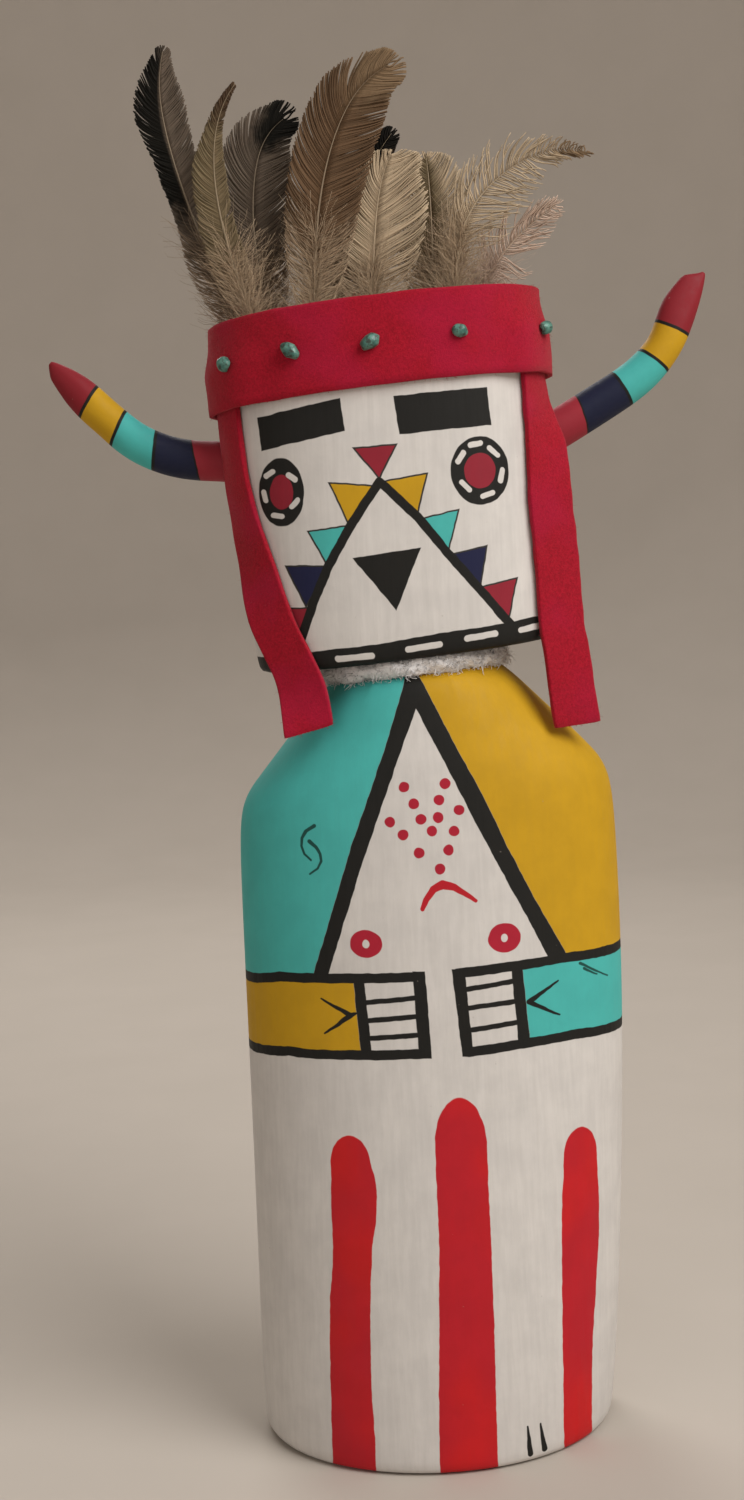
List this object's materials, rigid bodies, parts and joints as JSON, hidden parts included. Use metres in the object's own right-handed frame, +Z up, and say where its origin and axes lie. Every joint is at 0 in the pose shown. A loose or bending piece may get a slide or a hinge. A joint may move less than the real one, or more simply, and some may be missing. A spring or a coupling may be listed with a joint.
{
  "type": "kachina doll",
  "caption": "Standing carved and painted wooden doll with a felt headband and streamers, horns, turquoise chips and a crest of feathers.",
  "frame": {"origin": "middle of the flat base that the doll stands on", "axes": "+Z up, the face looks towards -Y, +X to the right of someone looking at the face"},
  "size_m": [0.1692, 0.0506, 0.3561],
  "materials": {
    "painted_wood": "matte hand-brushed paint over carved cottonwood",
    "fleece": "white fleece, loose pile",
    "red_felt": "red wool felt, slightly fuzzy",
    "turquoise": "tumbled turquoise chips, half polished",
    "horn_paint": "painted wood in bands of maroon, yellow, turquoise and navy",
    "feather": "natural brown, grey and cream feathers"
  },
  "bodies": {
    "root": {"carved_body": "painted_wood", "neck_ruff": "fleece", "headband": "red_felt", "strap_left": "red_felt", "strap_right": "red_felt", "turquoise_chip_1": "turquoise", "turquoise_chip_2": "turquoise", "turquoise_chip_3": "turquoise", "turquoise_chip_4": "turquoise", "turquoise_chip_5": "turquoise", "horn_left": "horn_paint", "horn_right": "horn_paint", "feather_1": "feather", "feather_2": "feather", "feather_3": "feather", "feather_4": "feather", "feather_5": "feather", "feather_6": "feather", "feather_7": "feather", "feather_8": "feather", "feather_9": "feather"}
  },
  "joints": []
}
